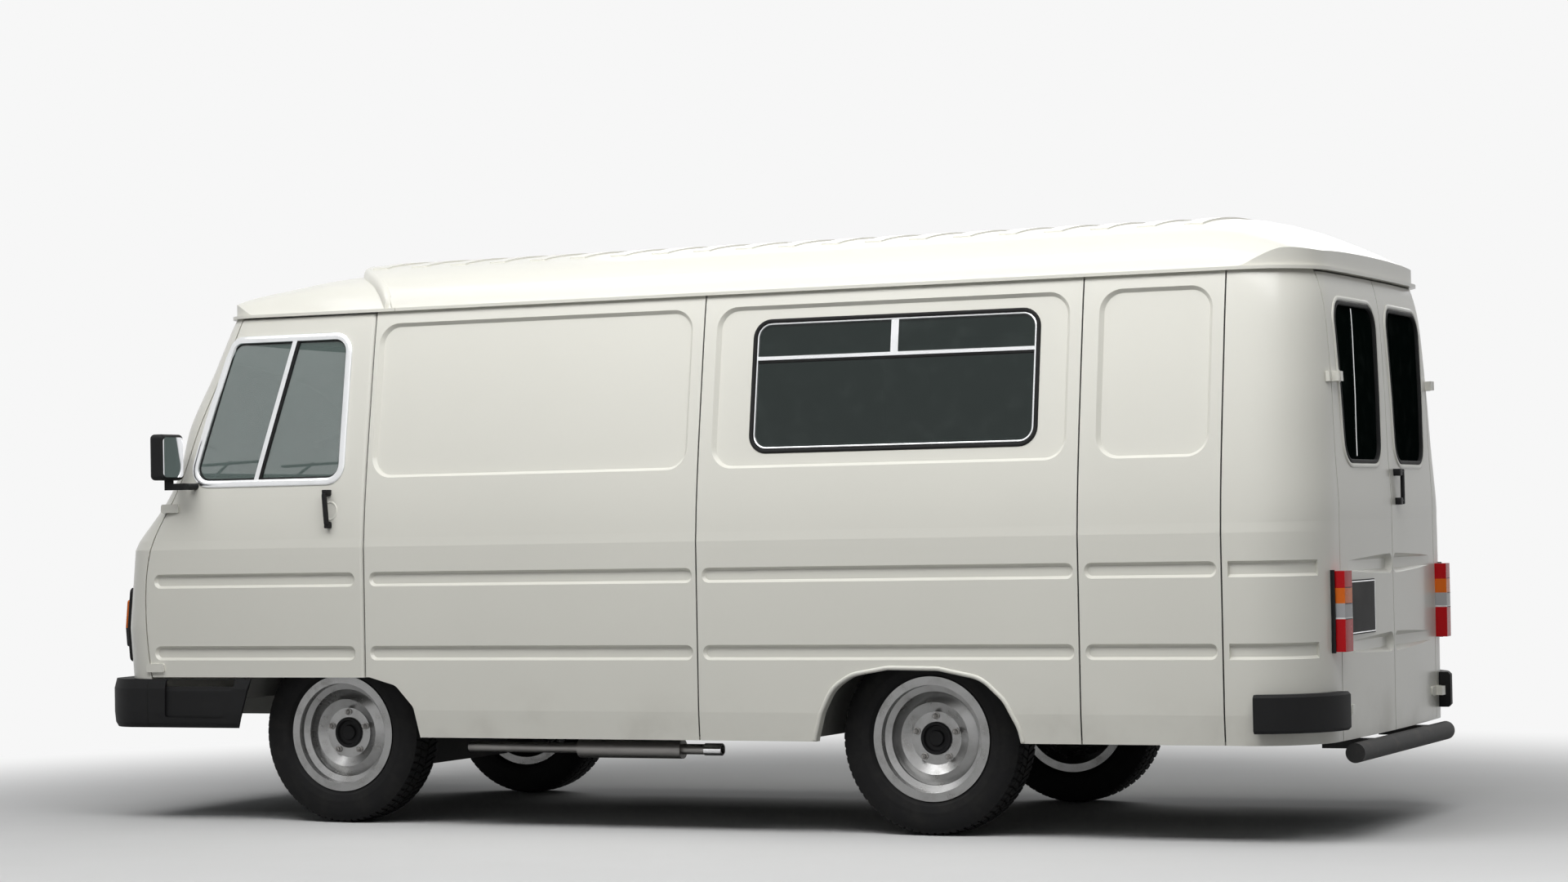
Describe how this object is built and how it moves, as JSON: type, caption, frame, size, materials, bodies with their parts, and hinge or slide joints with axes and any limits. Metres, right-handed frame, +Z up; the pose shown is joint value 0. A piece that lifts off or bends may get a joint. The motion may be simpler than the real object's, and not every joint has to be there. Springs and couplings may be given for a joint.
{
  "type": "panel van",
  "caption": "Forward-control panel van with beaded sides, a side window, ribbed high roof, hinged cab and twin rear doors, steered front and free rear wheels",
  "frame": {"origin": "on the ground, in the middle of the overall length and width", "axes": "+X to the nose, +Y to the left side, +Z up"},
  "size_m": [5.1679, 2.2, 2.2375],
  "materials": {
    "body_paint": "warm off-white gloss paint",
    "glass": "grey-green tinted glass",
    "dark_plastic": "black grained plastic",
    "lamp_red": "red, orange and clear lens bands",
    "lamp_orange": "orange lens over a dark base",
    "lamp_clear": "clear fluted lens",
    "under_metal": "dark underbody paint",
    "platform_paint": "primer-coloured floor",
    "engine_metal": "cast metal",
    "exhaust_metal": "dull steel with a bright tip",
    "wheel_paint": "silver-grey wheel paint",
    "tyre_rubber": "matt black tread rubber",
    "seat_fabric": "dark seat cloth"
  },
  "bodies": {
    "body": {"front_side_panels": "body_paint", "window_side_panels": "body_paint", "rear_side_panels": "body_paint", "rear_corner_panels": "body_paint", "nose_panel": "body_paint", "main_roof": "body_paint", "cab_roof": "body_paint", "windscreen": "glass", "side_windows": "glass", "grille_panel": "dark_plastic", "front_bumper": "dark_plastic", "rear_corner_bumpers": "dark_plastic", "dashboard": "dark_plastic", "steering_wheel": "dark_plastic", "tail_lamps": "lamp_red", "front_indicators": "lamp_orange", "headlamps": "lamp_clear", "rear_step": "under_metal", "front_axle": "under_metal", "rear_axle": "under_metal", "fuel_tank": "under_metal", "seat_bases": "under_metal", "platform": "platform_paint", "wheel_housings": "platform_paint", "engine_cover": "platform_paint", "engine": "engine_metal", "exhaust": "exhaust_metal", "seat_pads": "seat_fabric"},
    "cab_door_left": {"cab_door_left": "body_paint", "cab_window_left": "glass", "mirror_left": "dark_plastic"},
    "rear_door_left": {"rear_door_left": "body_paint", "rear_window_left": "glass"},
    "steering_knuckle_left": {"steering_knuckle_left": "under_metal"},
    "front_wheel_left": {"wheel_front_left": "wheel_paint", "tyre_front_left": "tyre_rubber"},
    "rear_wheel_left": {"wheel_rear_left": "wheel_paint", "tyre_rear_left": "tyre_rubber"},
    "cab_door_right": {"cab_door_right": "body_paint", "cab_window_right": "glass", "mirror_right": "dark_plastic"},
    "rear_door_right": {"rear_door_right": "body_paint", "rear_window_right": "glass"},
    "steering_knuckle_right": {"steering_knuckle_right": "under_metal"},
    "front_wheel_right": {"wheel_front_right": "wheel_paint", "tyre_front_right": "tyre_rubber"},
    "rear_wheel_right": {"wheel_rear_right": "wheel_paint", "tyre_rear_right": "tyre_rubber"}
  },
  "joints": [
    {"name": "cab_door_left_hinge", "type": "hinge", "parent": "body", "child": "cab_door_left", "pos_m": [2.226, 0.95, 1.244], "axis": [-0.1063, -0.0266, 0.994], "range_deg": [-68, 0]},
    {"name": "rear_door_left_hinge", "type": "hinge", "parent": "body", "child": "rear_door_left", "pos_m": [-2.52204, 0.65282, 1.61923], "axis": [0.0144, 0, 0.9999], "range_deg": [-90, 0]},
    {"name": "steering_left", "type": "hinge", "parent": "body", "child": "steering_knuckle_left", "pos_m": [1.474, 0.655, 0.35], "axis": [0, 0, 1], "range_deg": [-30, 30]},
    {"name": "front_wheel_left_spin", "type": "hinge", "parent": "steering_knuckle_left", "child": "front_wheel_left", "pos_m": [1.474, 0.735, 0.35], "axis": [0, 1, 0], "continuous": true},
    {"name": "rear_wheel_left_spin", "type": "hinge", "parent": "body", "child": "rear_wheel_left", "pos_m": [-1.026, 0.735, 0.35], "axis": [0, 1, 0], "continuous": true},
    {"name": "cab_door_right_hinge", "type": "hinge", "parent": "body", "child": "cab_door_right", "pos_m": [2.226, -0.95, 1.244], "axis": [-0.1063, 0.0266, 0.994], "range_deg": [0, 68]},
    {"name": "rear_door_right_hinge", "type": "hinge", "parent": "body", "child": "rear_door_right", "pos_m": [-2.52204, -0.65282, 1.61923], "axis": [0.0144, 0, 0.9999], "range_deg": [0, 90]},
    {"name": "steering_right", "type": "hinge", "parent": "body", "child": "steering_knuckle_right", "pos_m": [1.474, -0.655, 0.35], "axis": [0, 0, 1], "range_deg": [-30, 30]},
    {"name": "front_wheel_right_spin", "type": "hinge", "parent": "steering_knuckle_right", "child": "front_wheel_right", "pos_m": [1.474, -0.735, 0.35], "axis": [0, 1, 0], "continuous": true},
    {"name": "rear_wheel_right_spin", "type": "hinge", "parent": "body", "child": "rear_wheel_right", "pos_m": [-1.026, -0.735, 0.35], "axis": [0, 1, 0], "continuous": true}
  ],
  "couplings": [
    {"joint": "steering_right", "follows": "steering_left", "ratio": 1}
  ]
}
